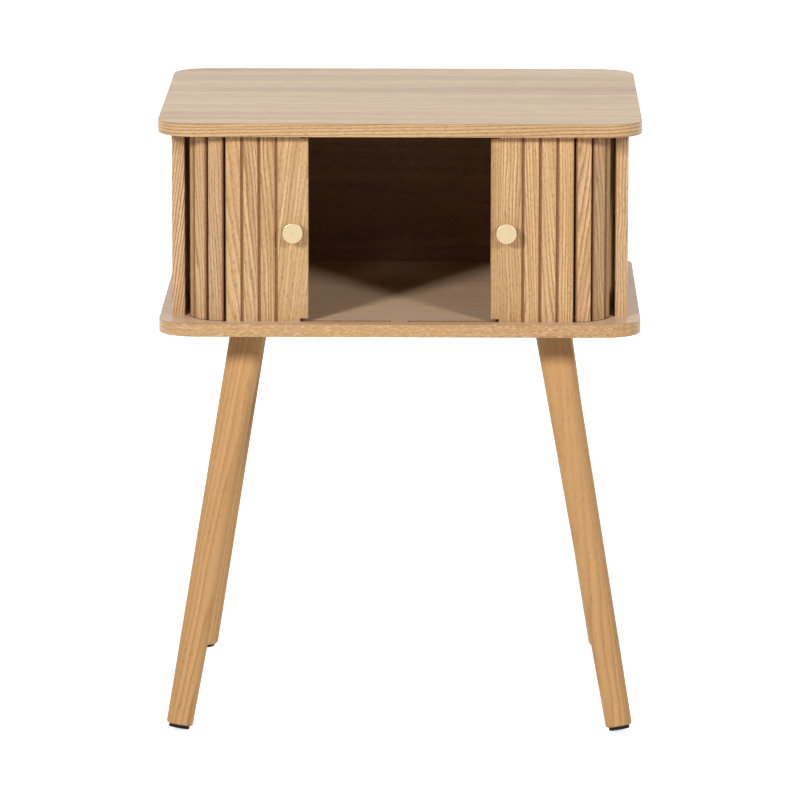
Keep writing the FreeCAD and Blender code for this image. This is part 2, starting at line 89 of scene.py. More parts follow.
yaw, pitch, roll = (math.radians(shot[key]) for key in ("yaw", "pitch", "roll"))
forward = Vector((math.sin(yaw) * math.cos(pitch), math.cos(yaw) * math.cos(pitch), -math.sin(pitch)))
level = Vector((math.cos(yaw), -math.sin(yaw), 0))
upward = level.cross(forward)
across = level * math.cos(roll) + upward * math.sin(roll)
upright = upward * math.cos(roll) - level * math.sin(roll)
camera = bpy.data.objects.new("camera", bpy.data.cameras.new("camera"))
camera.data.sensor_width = shot["sensor"]
camera.data.lens = shot["lens"]
facing = Matrix((across, upright, -forward)).transposed().to_4x4()
camera.matrix_world = Matrix.Translation(shot["place"]) @ facing
scene.collection.objects.link(camera)
scene.camera = camera
scene.view_settings.view_transform = "Standard"
print("camera set")


# two softboxes in front, one to each side, and two larger, weaker ones behind
studio = {
    "target": (0, 0, 0.42),
    "distance": 4.0,
    "side": {"leftTurn": -29.5, "rightTurn": 31.5, "rise": 21.5, "size": 0.55, "left": 79, "right": 51},
    "rear": {"turn": 138, "rise": 25, "size": 2.6, "power": 46},
    "ambient": 0.07,
}


def addSoftbox(name, turn, rise, size, power):
    lamp = bpy.data.objects.new(name, bpy.data.lights.new(name, "AREA"))
    lamp.data.shape = "SQUARE"
    lamp.data.size = size
    lamp.data.energy = power
    turn, rise = math.radians(turn), math.radians(rise)
    away = Vector((math.sin(turn) * math.cos(rise), -math.cos(turn) * math.cos(rise), math.sin(rise)))
    lamp.location = Vector(studio["target"]) + away * studio["distance"]
    lamp.rotation_euler = (-away).to_track_quat("-Z", "Y").to_euler()
    scene.collection.objects.link(lamp)


side, rear = studio["side"], studio["rear"]
for hand, sign in hands:
    addSoftbox(f"{hand}Softbox", side[f"{hand}Turn"], side["rise"], side["size"], side[hand])
    addSoftbox(f"rear{hand.title()}Softbox", sign * rear["turn"], rear["rise"], rear["size"], rear["power"])


def addSeen(tree):
    # 1 on rays from the eye, in reflections and through glass, 0 on the rest
    ray = addNode(tree, "ShaderNodeLightPath").outputs
    seen = ray["Is Camera Ray"]
    for kind in ("Is Glossy Ray", "Is Transmission Ray"):
        seen = addNode(tree, "ShaderNodeMath", {0: seen, 1: ray[kind]}, operation="MAXIMUM").outputs[0]
    return seen


# the world is white to the eye and in reflections, and a soft fill otherwise
world = bpy.data.worlds.new("studio")
world.use_nodes = True
scene.world = world
tree = world.node_tree
tree.nodes.clear()
power = addNode(tree, "ShaderNodeMapRange", {0: addSeen(tree), 3: studio["ambient"], 4: 1.0})
sky = addNode(tree, "ShaderNodeBackground", {"Color": (1, 1, 1, 1), "Strength": power.outputs[0]})
addNode(tree, "ShaderNodeOutputWorld", {"Surface": sky.outputs[0]})


def newMaterial(name):
    made = bpy.data.materials.new(name)
    made.use_nodes = True
    made.node_tree.nodes.clear()
    return made, made.node_tree


def finishMaterial(tree, inputs):
    shader = addNode(tree, "ShaderNodeBsdfPrincipled", inputs)
    addNode(tree, "ShaderNodeOutputMaterial", {"Surface": shader.outputs[0]})


# paper floor, in metres: it keeps the shadow round the legs, and is lifted to white further off,
# where the lamps don't reach
floorLook = {
    "half": 9.0, "colour": "#EDEDED", "lit": (0, -2.2, 0), "reach": 4.0,
    "lift": ((0.22, 0.4), (0.4, 0.78), (0.64, 0.78), (0.95, 1.0)),  # share of the reach, light added there
}
half = floorLook["half"]
corners = [(-half, -half, 0), (half, -half, 0), (half, half, 0), (-half, half, 0)]
mesh = bpy.data.meshes.new("floor")
mesh.from_pydata(corners, [], [(0, 1, 2, 3)])
floor = addPiece("floor", mesh)
material, tree = newMaterial("paperFloor")
spot = addNode(tree, "ShaderNodeTexCoord").outputs["Object"]
away = addNode(tree, "ShaderNodeVectorMath", {0: spot, 1: floorLook["lit"]}, operation="DISTANCE")
away = addNode(tree, "ShaderNodeMapRange", {0: away.outputs["Value"], 2: floorLook["reach"]}).outputs[0]
lift = [(place, (light,) * 3 + (1,)) for place, light in floorLook["lift"]]
white = addNode(tree, "ShaderNodeValToRGB", {0: away}, stops=lift).outputs[0]
lift = addNode(tree, "ShaderNodeMath", {0: addSeen(tree), 1: white}, operation="MULTIPLY")
paper = addNode(tree, "ShaderNodeBsdfDiffuse", {"Color": linear(floorLook["colour"])})
glow = addNode(tree, "ShaderNodeEmission", {"Color": (1, 1, 1, 1), "Strength": lift.outputs[0]})
both = addNode(tree, "ShaderNodeAddShader", {0: paper.outputs[0], 1: glow.outputs[0]})
addNode(tree, "ShaderNodeOutputMaterial", {"Surface": both.outputs[0]})
floor.data.materials.append(material)
print("studio lit")


# oak, sawn and planed under matt lacquer: honey ground, a darker porous line in each ring, dashes along
# the grain; sizes in mm, a span is the part of a noise that counts, pith and turn say where the log lies
oak = {
    "pith": (0, 0, 0), "turn": (0, 0, 0),
    "late": "#F2D0A0", "middle": "#DAB079", "early": "#9C6E40", "plain": "#E0B782",
    "ring": 3.0, "ringStops": (0.12, 0.32, 0.55, 0.86),
    "wander": 7.0, "wanderAcross": 15, "wanderAlong": 130,
    "tone": "#C2925C", "band": 4.2, "bandLength": 40, "bandSpan": (0.36, 0.64), "bandDepth": 0.75,
    "fade": 0.8, "fadeSpan": (0.4, 0.6),
    "sapColour": "#EECF9F", "sapwood": 30, "sapLength": 16, "sapSpan": (0.42, 0.64), "sapDepth": 0.32,
    "poreColour": "#93673B", "pore": 0.7, "poreLength": 6, "poreSpan": (0.46, 0.68), "poreDepth": 0.7,
    "poreNear": (0.6, 0.05), "poreSpread": 0.5,
    "roughness": 0.5, "poreDull": 0.2, "gloss": 0.4, "bump": 0.25, "bumpDepth": 0.3, "diffuse": 0.6,
}
# brown fibreboard under the veneer, as the slats' flanks show it: fine mottled fibre, no gloss
coreLook = {
    "light": "#BA8C65", "dark": "#9B6E4B", "span": (0.35, 0.65), "grain": 1.2, "roughness": 0.8,
    "flank": (-0.88, -0.6),  # how far a face looks forwards where veneer gives way to core
    # deep is painted shade: the core turns dark brown deep in the groove between two slats, where shade falls
    "deep": "#4A2C1A", "grooveShadeFrom": -1.5, "grooveShadeTo": 0.6,
}


def addStretched(tree, spot, width, length):
    # noise drawn out along the grain, with its cells' width and length in mm
    rate = (1 / (width * mm), 1 / (width * mm), 1 / (length * mm))
    place = addNode(tree, "ShaderNodeVectorMath", {0: spot, 1: rate}, operation="MULTIPLY").outputs[0]
    noise = {"Vector": place, "Scale": 1, "Detail": 2, "Roughness": 0.55}
    return addNode(tree, "ShaderNodeTexNoise", noise).outputs


def addOak(tree, spot, look):
    # spot runs along the log in z with the pith at x = y = 0, so any cut shows lines or arches
    wander = addStretched(tree, spot, look["wanderAcross"], look["wanderAlong"])["Color"]
    bend = {0: wander, 1: (look["wander"] * mm, look["wander"] * mm, 0), 2: spot}
    bent = addNode(tree, "ShaderNodeVectorMath", bend, operation="MULTIPLY_ADD").outputs[0]
    wave = {"Vector": bent, "Scale": waveWidth / (look["ring"] * mm), "Distortion": 0}
    rings = addNode(tree, "ShaderNodeTexWave", wave, wave_type="RINGS", rings_direction="Z",
                    wave_profile="SAW").outputs["Fac"]
    early, middle, late = (linear(look[key]) for key in ("early", "middle", "late"))
    inner = zip(look["ringStops"], (early, middle, late, late))
    stops = [(0, early), *inner, (1, middle)]
    lined = addNode(tree, "ShaderNodeValToRGB", {0: rings}, stops=stops).outputs[0]
    # broader bands follow the rings, where the tree grew faster or slower, and in places the rings fade
    flat = addNode(tree, "ShaderNodeVectorMath", {0: bent, 1: (1, 1, 0)}, operation="MULTIPLY").outputs[0]
    radius = addNode(tree, "ShaderNodeVectorMath", {0: flat}, operation="LENGTH").outputs["Value"]
    height = addNode(tree, "ShaderNodeSeparateXYZ", {0: bent}).outputs["Z"]
    grown = addNode(tree, "ShaderNodeCombineXYZ", {0: radius, 2: height}).outputs[0]
    band = addStretched(tree, grown, look["band"], look["band"] * look["bandLength"])["Fac"]
    start, stop = look["bandSpan"]
    depth = addNode(tree, "ShaderNodeMapRange", {0: band, 1: start, 2: stop, 4: look["bandDepth"]}).outputs[0]
    strips = addStretched(tree, spot, look["sapwood"], look["sapwood"] * look["sapLength"])["Color"]
    strips = addNode(tree, "ShaderNodeSeparateXYZ", {0: strips}).outputs
    start, stop = look["fadeSpan"]
    fade = addNode(tree, "ShaderNodeMapRange", {0: strips[1], 1: start, 2: stop, 4: look["fade"]}).outputs[0]
    plain, tone = linear(look["plain"]), linear(look["tone"])
    faded = addNode(tree, "ShaderNodeMix", {0: fade, 6: lined, 7: plain}, data_type="RGBA").outputs[2]
    toned = addNode(tree, "ShaderNodeMix", {0: depth, 6: faded, 7: tone}, data_type="RGBA").outputs[2]
    # sapwood: whole strips that are a little paler
    start, stop = look["sapSpan"]
    bleach = {0: strips[0], 1: start, 2: stop, 4: look["sapDepth"]}
    bleach = addNode(tree, "ShaderNodeMapRange", bleach).outputs[0]
    sap = linear(look["sapColour"])
    toned = addNode(tree, "ShaderNodeMix", {0: bleach, 6: toned, 7: sap}, data_type="RGBA").outputs[2]
    # fibres and pores: dashes along the grain, drawn 0.7 mm wide or more, as real ones of 0.2 mm don't show
    pores = addStretched(tree, bent, look["pore"], look["pore"] * look["poreLength"])["Fac"]
    start, stop = look["poreSpan"]
    mask = addNode(tree, "ShaderNodeMapRange", {0: pores, 1: start, 2: stop}).outputs[0]
    start, stop = look["poreNear"]
    near = {0: rings, 1: start, 2: stop, 3: look["poreSpread"]}
    near = addNode(tree, "ShaderNodeMapRange", near).outputs[0]
    dark = addNode(tree, "ShaderNodeMath", {0: mask, 1: near}, operation="MULTIPLY").outputs[0]
    share = addNode(tree, "ShaderNodeMath", {0: dark, 1: look["poreDepth"]}, operation="MULTIPLY").outputs[0]
    hollow = linear(look["poreColour"])
    shown = addNode(tree, "ShaderNodeMix", {0: share, 6: toned, 7: hollow}, data_type="RGBA").outputs[2]
    return shown, dark


def addCore(tree, spot):
    mottle = {"Vector": spot, "Scale": 1 / (coreLook["grain"] * mm), "Detail": 3}
    fibre = addNode(tree, "ShaderNodeTexNoise", mottle).outputs["Fac"]
    tints = zip(coreLook["span"], (linear(coreLook["dark"]), linear(coreLook["light"])))
    return addNode(tree, "ShaderNodeValToRGB", {0: fibre}, stops=tints).outputs[0]


def finishOak(tree, colour, dark, look, inputs):
    # pores are duller than the lacquer between them, and lie a little lower
    rough, dull = look["roughness"], look["roughness"] + look["poreDull"]
    rough = addNode(tree, "ShaderNodeMapRange", {0: dark, 3: rough, 4: dull}).outputs[0]
    sunk = {"Height": dark, "Strength": look["bump"], "Distance": look["bumpDepth"] * mm}
    bump = addNode(tree, "ShaderNodeBump", sunk, invert=True).outputs[0]
    shared = {"Base Color": colour, "Roughness": rough, "Normal": bump, "Diffuse Roughness": look["diffuse"]}
    finishMaterial(tree, shared | inputs)


def makeOak(name, look, attribute=None, coreBehind=False, fold=None):
    material, tree = newMaterial(name)
    if attribute:
        source = addNode(tree, "ShaderNodeAttribute", attribute_name=attribute).outputs["Vector"]
    else:
        source = addNode(tree, "ShaderNodeTexCoord").outputs["Object"]
    if fold is not None:
        # veneer opened like a book at y = fold, so that the back edge shows the close lines of the front one
        parts = addNode(tree, "ShaderNodeSeparateXYZ", {0: source}).outputs
        off = addNode(tree, "ShaderNodeMath", {0: parts["Y"], 1: fold}, operation="SUBTRACT").outputs[0]
        off = addNode(tree, "ShaderNodeMath", {0: off}, operation="ABSOLUTE").outputs[0]
        depth = addNode(tree, "ShaderNodeMath", {0: fold, 1: off}, operation="SUBTRACT").outputs[0]
        folded = {"X": parts["X"], "Y": depth, "Z": parts["Z"]}
        source = addNode(tree, "ShaderNodeCombineXYZ", folded).outputs[0]
    log = {
        "Vector": source, "Location": [value * mm for value in look["pith"]],
        "Rotation": [math.radians(angle) for angle in look["turn"]],
    }
    spot = addNode(tree, "ShaderNodeMapping", log, vector_type="TEXTURE").outputs[0]
    colour, dark = addOak(tree, spot, look)
    if attribute:
        paler = addNode(tree, "ShaderNodeAttribute", attribute_name="paler").outputs["Fac"]
        shade = {0: colour, "Scale": paler}
        colour = addNode(tree, "ShaderNodeVectorMath", shade, operation="SCALE").outputs[0]
    if coreBehind:
        # veneer on the front only; the rounded edges and flanks show the core
        normal = addNode(tree, "ShaderNodeNewGeometry").outputs["Normal"]
        turned = addNode(tree, "ShaderNodeSeparateXYZ", {0: normal}).outputs["Y"]
        start, stop = coreLook["flank"]
        flank = addNode(tree, "ShaderNodeMapRange", {0: turned, 1: start, 2: stop}).outputs[0]
        sides = {0: flank, 6: colour, 7: addCore(tree, source)}
        colour = addNode(tree, "ShaderNodeMix", sides, data_type="RGBA").outputs[2]
    finishOak(tree, colour, dark, look, {"Specular IOR Level": look["gloss"]})
    return material


# boards: oak veneer on the faces, with a satin lacquer that picks up the light at a low angle
topLook = dict(
    oak, late="#E2C295", middle="#D4B284", early="#B38D65", plain="#D7B788", ring=7,
    wander=20, wanderAcross=70, wanderAlong=460,
    tone="#BD966E", band=26, bandDepth=1.0, fade=0.5, sapColour="#E2C69A", sapwood=44, sapDepth=0.5,
    poreColour="#8F6D4B", pore=1.1, poreLength=26, poreDepth=0.55,
    roughness=0.33, poreDull=0.15, bump=0.12, diffuse=0.8,
)
bottomLook = dict(
    topLook, late="#DABB9A", middle="#CEB08F", early="#BD9D7C", plain="#D5B495",
    tone="#C7A286", bandDepth=0.8, sapColour="#D8C7A4", sapDepth=0.12,
    poreColour="#A38263", poreDepth=0.4, roughness=0.34,
)
# the lipping round a board's edge: long dark lines on the top board, short pale dashes on the bottom one
lippingLook = dict(
    oak, late="#EBC796", middle="#DDB47E", early="#A97945", plain="#DFB782", ring=3.0,
    wander=4, wanderAcross=12, wanderAlong=130, band=4, bandDepth=0.3, fade=0.2, sapDepth=0.2,
)
speckLook = dict(
    oak, late="#D6AA74", middle="#CA9C65", early="#B68853", plain="#CC9D64", ring=5,
    band=2.5, bandDepth=0.6, fade=0.8, sapDepth=0.15,
    poreColour="#F0D2A6", pore=0.8, poreLength=5, poreDepth=0.75, poreSpread=1.0,
)
board = {
    "pithBack": 60, "pithDown": 50, "turn": (1.0, 90, 0.7),
    "lippingDown": 30, "lippingBehind": 4, "lippingSlope": -0.02,
    "faceFrom": 0.6, "faceTo": 0.8,  # how level the eased corner is where lipping gives way to veneer
    "glueLine": "#86613F",
    "seam": ((0.5, 0), (0.66, 0.7), (0.86, 0.7), (0.97, 0)),  # how level it is, how much glue shows there
    "skin": 0.3, "insideLipping": 0.94, "ior": 1.52,
}


def makeBoard(name, node, faceLook, edgeLook):
    material, tree = newMaterial(name)
    low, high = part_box(node)
    source = addNode(tree, "ShaderNodeTexCoord").outputs["Object"]
    log = {
        "Vector": source, "Location": (0, board["pithBack"] * mm, high.z - board["pithDown"] * mm),
        "Rotation": [math.radians(angle) for angle in board["turn"]],
    }
    along = addNode(tree, "ShaderNodeMapping", log, vector_type="TEXTURE").outputs[0]
    face, faceDark = addOak(tree, along, faceLook)
    # the lipping's grain runs round the board, so both level directions count as its length
    parts = addNode(tree, "ShaderNodeSeparateXYZ", {0: source}).outputs
    length = addNode(tree, "ShaderNodeMath", {0: parts["X"], 1: parts["Y"]}, operation="ADD").outputs[0]
    heart = high.z - board["lippingDown"] * mm
    height = addNode(tree, "ShaderNodeMath", {0: parts["Z"], 1: heart}, operation="SUBTRACT").outputs[0]
    climb = {0: length, 1: board["lippingSlope"], 2: height}
    slope = addNode(tree, "ShaderNodeMath", climb, operation="MULTIPLY_ADD").outputs[0]
    strip = {"X": slope, "Y": board["lippingBehind"] * mm, "Z": length}
    strip = addNode(tree, "ShaderNodeCombineXYZ", strip).outputs[0]
    edge, edgeDark = addOak(tree, strip, edgeLook)
    normal = addNode(tree, "ShaderNodeNewGeometry").outputs["Normal"]
    normal = addNode(tree, "ShaderNodeSeparateXYZ", {0: normal}).outputs["Z"]
    flat = addNode(tree, "ShaderNodeMath", {0: normal}, operation="ABSOLUTE").outputs[0]
    levelled = {0: flat, 1: board["faceFrom"], 2: board["faceTo"]}
    blend = addNode(tree, "ShaderNodeMapRange", levelled).outputs[0]
    colour = addNode(tree, "ShaderNodeMix", {0: blend, 6: edge, 7: face}, data_type="RGBA").outputs[2]
    # glue shows in the seam between veneer and lipping, on the eased corner
    stops = [(place, (depth,) * 3 + (1,)) for place, depth in board["seam"]]
    seam = addNode(tree, "ShaderNodeValToRGB", {0: flat}, stops=stops).outputs[0]
    glue = linear(board["glueLine"])
    colour = addNode(tree, "ShaderNodeMix", {0: seam, 6: colour, 7: glue}, data_type="RGBA").outputs[2]
    # the door track is cut into the core: below the faces, and inside the lipping
    inside = None
    limits = (
        ("Z", (low.z + high.z) / 2, (high.z - low.z) / 2 - board["skin"] * mm),
        ("X", 0, high.x * board["insideLipping"]),
        ("Y", 0, high.y * board["insideLipping"]),
    )
    for axis, middle, reach in limits:
        off = addNode(tree, "ShaderNodeMath", {0: parts[axis], 1: middle}, operation="SUBTRACT").outputs[0]
        off = addNode(tree, "ShaderNodeMath", {0: off}, operation="ABSOLUTE").outputs[0]
        within = addNode(tree, "ShaderNodeMath", {0: off, 1: reach}, operation="LESS_THAN").outputs[0]
        if inside:
            within = addNode(tree, "ShaderNodeMath", {0: inside, 1: within}, operation="MULTIPLY").outputs[0]
        inside = within
    sawn = {0: inside, 6: colour, 7: addCore(tree, source)}
    colour = addNode(tree, "ShaderNodeMix", sawn, data_type="RGBA").outputs[2]
    dark = addNode(tree, "ShaderNodeMix", {0: blend, 2: edgeDark, 3: faceDark}).outputs[0]
    finishOak(tree, colour, dark, faceLook, {"IOR": board["ior"]})
    return material


def dress(material, *names):
    for name in names:
        slots = nodes[name].data.materials
        if not slots:
            slots.append(material)
        for index in range(len(slots)):
            slots[index] = material


dress(makeBoard("oakVeneerTop", "top_board", topLook, lippingLook), "top_board")
dress(makeBoard("oakVeneerBottom", "bottom_board", bottomLook, speckLook), "bottom_board")

# side panels: oak veneer with close, strong lines; back panel: plainer and darker, with its grain level
panelLook = dict(
    oak, late="#F5D6AE", middle="#E3BC8F", early="#7E522F", plain="#E3BD90", ring=2.5,
    wander=4, wanderAlong=70, bandDepth=0.5, fade=0.2,
)
leftLook = dict(panelLook, pith=(-262, -166, 480), turn=(1.0, 8.5, 0))
rightLook = dict(
    panelLook, late="#F6D4A2", middle="#E3BA86", early="#7A4E2A", wander=7,
    pith=(256, -170, 480), turn=(-1.5, 1.5, 0),
)
backLook = dict(
    oak, late="#B5875D", middle="#AD7F55", early="#9A6E47", plain="#AE8056", ring=6,
    tone="#A0734B", band=12, fade=0.9, sapColour="#B88B61", poreColour="#845B39",
    pith=(0, 260, 440), turn=(0, 90, 1),
)
panelMiddle = sum(corner.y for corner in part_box("left_side")) / 2
dress(makeOak("oakLeftSide", leftLook, fold=panelMiddle), "left_side")
dress(makeOak("oakRightSide", rightLook, fold=panelMiddle), "right_side")
dress(makeOak("oakBack", backLook), "back_panel")

# legs: turned from solid oak, so the rings run out in long arches on the round face; the head is where
# a leg meets its board, and front and back say how far those legs are turned towards the sides
legTurning = {
    "lean": 13.6, "front": 46, "back": 38, "headX": 142, "headY": 114, "headZ": 380,
    "pith": (26, -22), "wobble": (1.6, 1.1),
}
legLook = dict(
    oak, late="#E2B67E", middle="#DAAC73", early="#C6965D", plain="#DBAE76", ring=4,
    tone="#CE9F67", band=5, bandDepth=0.6, sapColour="#E4BB84", sapDepth=0.3, poreDepth=0.34,
    roughness=0.6, gloss=0.25,
)
lean = math.radians(legTurning["lean"])
for end, way in ends:
    for hand, sign in hands:
        turn = math.radians(legTurning[end])
        splay = Vector((-sign * math.sin(turn), -way * math.cos(turn), 0)) * math.sin(lean)
        rise = splay + Vector((0, 0, math.cos(lean)))
        tilt = Vector((0, 0, 1)).rotation_difference(rise).to_matrix()
        sway, nod = (math.radians(angle) for angle in legTurning["wobble"])
        wobble = Matrix.Rotation(sway * sign * way, 3, "X") @ Matrix.Rotation(nod, 3, "Y")
        head = Vector((sign * legTurning["headX"], way * legTurning["headY"], legTurning["headZ"]))
        offX, offY = legTurning["pith"]
        pith = head + tilt @ Vector((offX * sign, offY * way, 0))
        turned = [math.degrees(angle) for angle in (tilt @ wobble).to_euler()]
        finish = makeOak(f"turnedOak{end.title()}{hand.title()}", dict(legLook, pith=pith, turn=turned))
        dress(finish, f"{end}_{hand}_leg")
print("case and legs dressed")


# glides: black moulded polythene, slightly mottled from the mould
glideLook = {
    "light": "#19130F", "dark": "#0C0907", "span": (0.3, 0.7), "grain": 1.5,
    "roughness": 0.7, "gloss": 0.2, "ior": 1.5, "bump": 0.2, "bumpDepth": 0.2,
}
material, tree = newMaterial("mouldedPolythene")
spot = addNode(tree, "ShaderNodeTexCoord").outputs["Object"]
mottle = {"Vector": spot, "Scale": 1 / (glideLook["grain"] * mm), "Detail": 2}
skin = addNode(tree, "ShaderNodeTexNoise", mottle).outputs["Fac"]
tints = zip(glideLook["span"], (linear(glideLook["dark"]), linear(glideLook["light"])))
tint = addNode(tree, "ShaderNodeValToRGB", {0: skin}, stops=tints).outputs[0]
raised = {"Height": skin, "Strength": glideLook["bump"], "Distance": glideLook["bumpDepth"] * mm}
bump = addNode(tree, "ShaderNodeBump", raised).outputs[0]
finishMaterial(tree, {
    "Base Color": tint, "Roughness": glideLook["roughness"], "Normal": bump,
    "IOR": glideLook["ior"], "Specular IOR Level": glideLook["gloss"],
})
legNames = [f"{end}_{hand}" for end, way in ends for hand, sign in hands]
dress(material, *(f"{name}_glide" for name in legNames))

# zinc-plated steel: grey with faint cloudy spangle and an even, dull shine
zincLook = {
    "light": "#B6B7B8", "dark": "#97999B", "span": (0.1, 0.9), "spangle": 4, "smooth": 0.32, "dull": 0.48,
}
zinc, tree = newMaterial("zincPlatedSteel")
spot = addNode(tree, "ShaderNodeTexCoord").outputs["Object"]
crystals = {"Vector": spot, "Scale": 1 / (zincLook["spangle"] * mm)}
cloud = addNode(tree, "ShaderNodeTexVoronoi", crystals).outputs
tints = zip(zincLook["span"], (linear(zincLook["dark"]), linear(zincLook["light"])))
tint = addNode(tree, "ShaderNodeValToRGB", {0: cloud["Color"]}, stops=tints).outputs[0]
shine = {0: cloud["Distance"], 3: zincLook["smooth"], 4: zincLook["dull"]}
rough = addNode(tree, "ShaderNodeMapRange", shine).outputs[0]
finishMaterial(tree, {"Base Color": tint, "Metallic": 1.0, "Roughness": rough})
dress(zinc, *(f"{name}_{kind}" for name in legNames for kind in ("plate", "bolt")))
dress(zinc, "left_knob_screw", "right_knob_screw", "leg_plate_screws")

# beech dowels, planed smooth: pale pinkish wood with short flecks
dowelLook = dict(
    oak, late="#E3C7A3", middle="#DBBB93", early="#D0AC82", plain="#DBBB93", tone="#D6B58C",
    poreDepth=0.3, pith=(30, 10, 0),
)
dress(makeOak("beechDowel", dowelLook), "carcass_dowels")

# knobs: turned brass, satin, with the lathe's fine rings on the face, drawn 0.9 mm apart so that they show,
# and the lathe's centre mark in the middle, drawn as a darker spot: painted shade in its small hollow
knobLook = {
    "light": "#DCC7A0", "dark": "#D5BF97", "span": (0.2, 0.8), "smooth": 0.26, "dull": 0.36,
    "ring": 0.9, "ringBreak": 0.4, "cloud": 3.333, "cloudShare": 0.6,
    # dimple, dimpleFloor and shade: the centre mark's painted shade, darker towards its middle
    "dimple": 0.9, "dimpleFloor": 0.27, "shade": "#B9A077",
}
for hand, sign in hands:
    material, tree = newMaterial(f"turnedBrass{hand.title()}")
    low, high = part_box(f"{hand}_knob")
    spot = addNode(tree, "ShaderNodeTexCoord").outputs["Object"]
    centred = {"Vector": spot, "Location": (low + high) / 2}
    axis = addNode(tree, "ShaderNodeMapping", centred, vector_type="TEXTURE").outputs[0]
    wave = {
        "Vector": axis, "Scale": waveWidth / (knobLook["ring"] * mm),
        "Distortion": knobLook["ringBreak"], "Detail": 1,
    }
    turned = addNode(tree, "ShaderNodeTexWave", wave, wave_type="RINGS", rings_direction="Y",
                     wave_profile="SIN").outputs["Fac"]
    puff = {"Vector": spot, "Scale": 1 / (knobLook["cloud"] * mm), "Detail": 2}
    cloud = addNode(tree, "ShaderNodeTexNoise", puff).outputs["Fac"]
    part = addNode(tree, "ShaderNodeMix", {0: knobLook["cloudShare"], 2: turned, 3: cloud}).outputs[0]
    tints = zip(knobLook["span"], (linear(knobLook["dark"]), linear(knobLook["light"])))
    tint = addNode(tree, "ShaderNodeValToRGB", {0: part}, stops=tints).outputs[0]
    shine = {0: part, 3: knobLook["dull"], 4: knobLook["smooth"]}
    rough = addNode(tree, "ShaderNodeMapRange", shine).outputs[0]
    across = addNode(tree, "ShaderNodeVectorMath", {0: axis, 1: (1, 0, 1)}, operation="MULTIPLY").outputs[0]
    radius = addNode(tree, "ShaderNodeVectorMath", {0: across}, operation="LENGTH").outputs["Value"]
    # painted shade: the small hollow of the centre mark is drawn in a darker brass colour
    drilled = {0: radius, 1: knobLook["dimple"] * mm, 2: knobLook["dimpleFloor"] * mm}
    dimpleShade = addNode(tree, "ShaderNodeMapRange", drilled).outputs[0]
    shade = linear(knobLook["shade"])
    tint = addNode(tree, "ShaderNodeMix", {0: dimpleShade, 6: tint, 7: shade}, data_type="RGBA").outputs[2]
    finishMaterial(tree, {"Base Color": tint, "Metallic": 1.0, "Roughness": rough})
    dress(material, f"{hand}_knob")

# lead slats keep their CAD shape; the left one is cut at a slant to the grain, the right one straight
leadLook = dict(oak, early="#B08152", fade=0.9)
leftLeadLook = dict(leadLook, ring=2.7, pith=(-140, -150, 300), turn=(1.2, 5.5, 0))
rightLeadLook = dict(leadLook, ring=2.5, wander=7, wanderAlong=90, pith=(160, -150, 480), turn=(0.6, 0.8, 0))
dress(makeOak("veneerLeftLead", leftLeadLook, coreBehind=True), "left_lead_slat")
dress(makeOak("veneerRightLead", rightLeadLook, coreBehind=True), "right_lead_slat")
print("metal, plastic and leads dressed")


# canvas, plain weave, dyed brown: threads drawn 1.2 mm apart so that they show
canvasLook = {
    "light": "#7A5C4A", "dark": "#4A352A", "span": (0, 0.8), "thread": 1.2,
    "roughness": 0.9, "bump": 0.3, "bumpDepth": 0.3,
}
canvas, tree = newMaterial("wovenCanvas")
spot = addNode(tree, "ShaderNodeTexCoord").outputs["Object"]
threads = {"Vector": spot, "Scale": waveWidth / (canvasLook["thread"] * mm)}
warp = addNode(tree, "ShaderNodeTexWave", threads, bands_direction="X").outputs["Fac"]
weft = addNode(tree, "ShaderNodeTexWave", threads, bands_direction="Z").outputs["Fac"]
weave = addNode(tree, "ShaderNodeMath", {0: warp, 1: weft}, operation="MULTIPLY").outputs[0]
tints = zip(canvasLook["span"], (linear(canvasLook["dark"]), linear(canvasLook["light"])))
tint = addNode(tree, "ShaderNodeValToRGB", {0: weave}, stops=tints).outputs[0]
raised = {"Height": weave, "Strength": canvasLook["bump"], "Distance": canvasLook["bumpDepth"] * mm}
bump = addNode(tree, "ShaderNodeBump", raised).outputs[0]
finishMaterial(tree, {"Base Color": tint, "Roughness": canvasLook["roughness"], "Normal": bump})

# the doors' canvas: stretched flat behind the slats, it gives a little where it bridges a gap,
# and its free edge closes the next one
strip = {
    "thickness": 0.5, "columns": 60, "rows": 24, "clear": 0.02,
    "pitch": 16, "firstGap": 114.5, "bulge": 0.12, "bulgeEdge": 8,
    "flap": 4.0, "flapFrom": 159, "flapRun": 3, "flapSag": 0.45,
}


def canvasBack(x):
    # how far behind the slats the canvas lies, x mm from the middle of the front
    phase = (x - strip["firstGap"]) / strip["pitch"]
    bridge = max(0.0, math.cos(2 * math.pi * phase)) ** strip["bulgeEdge"]
    loose = min(1.0, max(0.0, (x - strip["flapFrom"]) / strip["flapRun"]))
    return strip["clear"] + strip["bulge"] * bridge * (1 - loose) + strip["flapSag"] * loose


for hand, sign in hands:
    low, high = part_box(f"{hand}_canvas")
    inner, outer = sorted((abs(low.x), abs(high.x)))
    outer += strip["flap"] * mm
    work = bmesh.new()
    grid = []
    for row in range(strip["rows"] + 1):
        z = low.z + (high.z - low.z) * row / strip["rows"]
        line = []
        for column in range(strip["columns"] + 1):
            x = inner + (outer - inner) * column / strip["columns"]
            line.append(work.verts.new((sign * x, low.y + canvasBack(x / mm) * mm, z)))
        grid.append(line)
    for lower, upper in zip(grid[:-1], grid[1:]):
        for column in range(strip["columns"]):
            work.faces.new((lower[column], lower[column + 1], upper[column + 1], upper[column]))
    bmesh.ops.recalc_face_normals(work, faces=work.faces[:])
    bmesh.ops.solidify(work, geom=work.faces[:], thickness=strip["thickness"] * mm)
    bmesh.ops.recalc_face_normals(work, faces=work.faces[:])
    mesh = bpy.data.meshes.new(f"{hand}_door_canvas")
    work.to_mesh(mesh)
    work.free()
    mesh.materials.append(canvas)
    piece = addPiece(f"{hand}_door_canvas", mesh)
    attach(piece, f"{hand}_door")
    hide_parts(f"{hand}_canvas")
print("canvas stretched")


